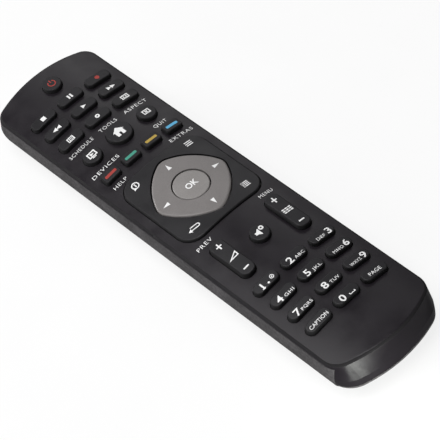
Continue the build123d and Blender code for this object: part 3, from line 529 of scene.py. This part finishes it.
roof = [[(-2.6, 0.3), (0, 2.5), (2.6, 0.3), (1.9, 0.3), (-1.9, 0.3)]]
house_walls = bar(-1.2, -0.95, 1.4, 2.5) + bar(1.2, -0.95, 1.4, 2.5) + bar(0, -0.1, 1.0, 0.8)
on_key("home_key", roof + house_walls)

stroke = bar(0, 0, 1.6, 0.4)
cross = moved(stroke, 0, 0.1, 45) + moved(stroke, 0, 0.1, 135)
on_key("exit_key", outline_box(0, 0.1, 3.2, 2.4, 0.45) + cross)

speaker = [[(-1.7, -0.55), (-1.0, -0.55), (0.2, -1.5), (0.2, 1.5), (-1.0, 0.55), (-1.7, 0.55)]]
mute_ring = band(1.35, 0.95, 0.35, 0.85, steps=24)
on_key("mute_key", moved(speaker + mute_ring, 0, 0, scale=1.15))

# Colour keys. Their bars lie a little lower than other legends, within the model's box.
COLOUR_BAR = pill_bar(0, -0.1, 5.4, 1.25, 0.45)
COLOUR_BAR_DROP = 0.02
for node, slot in (("red_key", "legend_red"), ("green_key", "legend_green"),
                   ("yellow_key", "legend_yellow"), ("blue_key", "legend_blue")):
    on_key(node, COLOUR_BAR, slot=slot, proud=COLOUR_PROUD - COLOUR_BAR_DROP)

# Number keys, with the standard keypad letters beside each digit. On the right-hand column the
# digit stands at the right, and the letters at its left.
DIGIT_HEIGHT = 2.95
DIGIT_LIFT = -0.45
LETTER_HEIGHT = 1.35
LETTER_LIFT = -1.1
LETTER_STEP = 4.2
RIGHT_DIGIT_X = 2.9
LEFT_DIGIT_X = -2.2
LETTERS = {2: ("ABC", 4.3), 3: ("DEF", 3.9), 4: ("GHI", 4.2), 5: ("JKL", 4.1), 6: ("MNO", 4.7),
           7: ("PQRS", 5.0), 8: ("TUV", 4.2), 9: ("WXYZ", 5.1)}
digit_one_marks = (bar(LEFT_DIGIT_X, -1.6, 1.4, 0.36) + dot(LEFT_DIGIT_X + 2.6, -1.2, 0.45, 12)
                   + band(LEFT_DIGIT_X + 5.0, -0.2, 0.6, 0.9, steps=20)
                   + dot(LEFT_DIGIT_X + 5.0, -0.2, 0.3, 12))
space_mark = (bar(1.9, -1.5, 2.6, 0.32) + bar(0.76, -1.12, 0.32, 0.44)
              + bar(3.04, -1.12, 0.32, 0.44))
DIGIT_MARKS = {0: space_mark, 1: digit_one_marks}
for digit in range(10):
    node = f"digit_{digit}_key"
    right_column = centre(node)[0] > 1
    digit_x, side = (RIGHT_DIGIT_X, -1) if right_column else (LEFT_DIGIT_X, 1)
    words = [dict(words=str(digit), x=digit_x, y=DIGIT_LIFT, size=DIGIT_HEIGHT, weight=0.07,
                  stretch=1.2)]
    if digit in LETTERS:
        text, width = LETTERS[digit]
        words.append(dict(words=text, x=digit_x + side * LETTER_STEP, y=LETTER_LIFT,
                          size=LETTER_HEIGHT, width=width, spacing=1.1))
    on_key(node, DIGIT_MARKS.get(digit, ()), words)
for node, text, width in (("caption_key", "CAPTION", 8.6), ("page_key", "PAGE", 5.5)):
    on_key(node, words=[dict(words=text, x=0, y=-0.3, size=1.6, weight=0.01, width=width)])

# Rockers: plus and minus at the ends, with a volume wedge and a channel grid between them
plus = bar(0, 6.8, 2.4, 0.55) + bar(0, 7.69, 0.55, 1.23) + bar(0, 5.91, 0.55, 1.23)
minus = bar(0, -7.2, 2.5, 0.6)
wedge_outer = [(-2.3, -1.15), (2.3, -1.15), (2.3, 1.2)]
wedge_inner = [(-0.7, -0.72), (1.86, -0.72), (1.86, 0.55)]
wedge = [[wedge_outer[i], wedge_outer[j], wedge_inner[j], wedge_inner[i]]
         for i, j in ((0, 1), (1, 2), (2, 0))]
GRID_PITCH = (1.45, 0.88)
grid = []
for row in range(3):
    for column in range(3):
        grid += bar((column - 1) * GRID_PITCH[0], (1 - row) * GRID_PITCH[1], 1.15, 0.55)
for node, middle in (("volume_rocker", wedge), ("channel_rocker", grid)):
    on_key(node, plus + minus + middle, proud=ROCKER_PROUD)

# Navigation pad
ARROW_REACH = 12.3
arrow = [[(-0.85, -1.15), (0.85, -1.15), (0, 1.7)]]
arrows = []
for turn in (0, 90, 180, 270):
    angle = radians(turn)
    arrows += moved(arrow, -ARROW_REACH * sin(angle), PAD_Y + ARROW_REACH * cos(angle), turn)
legend("legend_nav_ring", "nav_ring", RING_PROUD, shapes=arrows)
legend("legend_ok_key", "ok_key", DISC_PROUD,
       words=[dict(words="OK", x=0, y=PAD_Y, size=2.7, weight=0.08, width=5.2)])

# The four corners of the frame round the pad: a bubble, three lines, a listing and a back arrow
bubble = (band(-13.3, 22.8, 1.15, 1.6) + [[(-14.7, 22.2), (-15.0, 21.0), (-13.8, 21.3)]]
          + bar(-13.3, 22.5, 0.5, 1.0) + dot(-13.3, 23.4, 0.3, 12))
lines = bar(13.5, 23.5, 3.0, 0.42) + bar(13.5, 22.6, 3.0, 0.42) + bar(13.5, 21.7, 3.0, 0.42)
listing = []
for row in range(4):
    y = -8.3 + (1.5 - row) * 0.72
    listing += bar(11.95, y, 0.45, 0.36) + bar(13.6, y, 2.3, 0.36)
back_shaft = bar(-0.05, 0.65, 3.1, 0.4) + bar(-0.05, -0.65, 3.1, 0.4)
back_bend = band(1.5, 0, 0.45, 0.85, -90, 90, 12)
back_head = [[(-1.6, -1.55), (-3.0, -0.65), (-1.6, 0.25)]]
back = moved(back_shaft + back_bend + back_head, -12.7, -8.6, -8)
corner_shapes = bubble + lines + listing + back
legend("legend_corner_keys", "corner_key_frame", FRAME_PROUD, shapes=corner_shapes)

# Words printed on the cover: text, x, y and width
COVER_WORDS = [
    ("SCHEDULE", -13.6, 53.4, 11.8),
    ("TOOLS", 0.2, 53.4, 8.4),
    ("ASPECT", 13.9, 53.4, 11.0),
    ("DEVICES", -13.9, 39.2, 13.2),
    ("QUIT", 13.9, 39.2, 6.1),
    ("HELP", -15.6, 29.0, 6.3),
    ("EXTRAS", 15.3, 29.0, 10.9),
    ("PREV", -15.5, -16.4, 7.0),
    ("MENU", 15.3, -16.4, 6.2),
]
words = [dict(words=text, x=x, y=y, size=1.7, weight=-0.01, spacing=1.15, width=width)
         for text, x, y, width in COVER_WORDS]
legend("legend_cover", "root", 0.0, words=words)

# Floor. The camera sees pale paper. Every other ray meets a grey that throws little light back.
FLOOR_SIZE = 8
FLOOR_DROP = 0.00005
FLOOR_GREYS = [(0.1, grey(0.12)), (0.3, grey(0.14)), (0.6, grey(0.86)), (0.8, grey(0.9))]
# The share of plain white that each kind of ray sees
FLOOR_WHITENESS = (("Is Camera Ray", 0.8), ("Is Glossy Ray", 0.08), ("Is Transmission Ray", 0.3))
bpy.ops.mesh.primitive_plane_add(size=FLOOR_SIZE, location=(0, 0, -FLOOR_DROP))
floor = bpy.context.object
floor.name = "floor"
paper = Nodes("floor_paper")
path = paper.add("ShaderNodeLightPath")
fibres = paper.spread(paper.noise(30.0), 0.1, 0.3)
tone = paper.multiply_add(path.outputs["Is Camera Ray"], 0.5, fibres)
paper.link(paper.ramp(tone, FLOOR_GREYS), paper.shader.inputs["Base Color"])
paper.shader.inputs["Roughness"].default_value = 0.9
paper.shader.inputs["Specular IOR Level"].default_value = 0.0
whiteness = 0.0
for ray, share in FLOOR_WHITENESS:
    whiteness = paper.multiply_add(path.outputs[ray], share, whiteness)
paper_light = paper.add("ShaderNodeEmission")
paper_light.inputs["Strength"].default_value = 1.0
blend = paper.add("ShaderNodeMixShader")
paper.link(whiteness, blend.inputs["Fac"])
paper.link(paper.shader.outputs["BSDF"], blend.inputs[1])
paper.link(paper_light.outputs["Emission"], blend.inputs[2])
paper.link(blend.outputs["Shader"], paper.tree.nodes["Material Output"].inputs["Surface"])
floor.data.materials.append(paper.material)

# World and lamps
WORLD_STRENGTH = 0.10
world = bpy.data.worlds.new("studio")
bpy.context.scene.world = world
world.use_nodes = True
background = world.node_tree.nodes["Background"]
background.inputs["Color"].default_value = (1, 1, 1, 1)
background.inputs["Strength"].default_value = WORLD_STRENGTH


def stand(item, place, direction, roll=0):
    """Stands a lamp or camera at a place in metres, looking along a direction."""
    item.location = place
    item.rotation_mode = "QUATERNION"
    look = direction.to_track_quat("-Z", "Y")
    item.rotation_quaternion = look @ Quaternion((0, 0, 1), radians(roll))
    bpy.context.scene.collection.objects.link(item)


def lamp(name, place, target, size, power, tint=(1, 1, 1)):
    """A soft rectangular lamp, placed and aimed in metres, with its power in watts."""
    light = bpy.data.lights.new(name, "AREA")
    light.shape = "RECTANGLE"
    light.size, light.size_y = size
    light.energy = power
    light.color = tint
    stand(bpy.data.objects.new(name, light), place, Vector(target) - Vector(place))


lamp("top_lamp", (-0.32, 0.02, 1.0), (-0.1, 0.0, 0), (0.9, 0.8), 9.8)
lamp("back_lamp", (0.68, 1.05, 0.86), (0, 0, 0), (1.0, 0.6), 2.4)
lamp("side_lamp", (-0.55, 1.1, 0.35), (0, 0, 0), (0.4, 0.3), 8.0)
lamp("left_lamp", (-1.0, 0.1, 0.15), (0, 0, 0.01), (0.5, 0.25), 3.2)
# A small one low down at the grip end's left corner, for the sheen there
lamp("corner_lamp", (-0.029, -0.135, 0.014), (-0.016, -0.097, 0.01), (0.03, 0.012), 0.036,
     (0.97, 1.0, 0.95))

# Camera, at the photograph's place and angle
CAMERA_PLACE = Vector((-0.26294, -0.40385, 0.56972))
CAMERA_AIM = Vector((0.35804, 0.54096, -0.76103))
CAMERA_ROLL = -13.242
SENSOR_WIDTH = 36
FOCAL_LENGTH = 165.09
camera_data = bpy.data.cameras.new("camera")
camera_data.sensor_width = SENSOR_WIDTH
camera_data.lens = FOCAL_LENGTH
camera_data.clip_start = 0.01
camera = bpy.data.objects.new("camera", camera_data)
stand(camera, CAMERA_PLACE, CAMERA_AIM, CAMERA_ROLL)
bpy.context.scene.camera = camera
bpy.context.scene.view_settings.view_transform = "Standard"
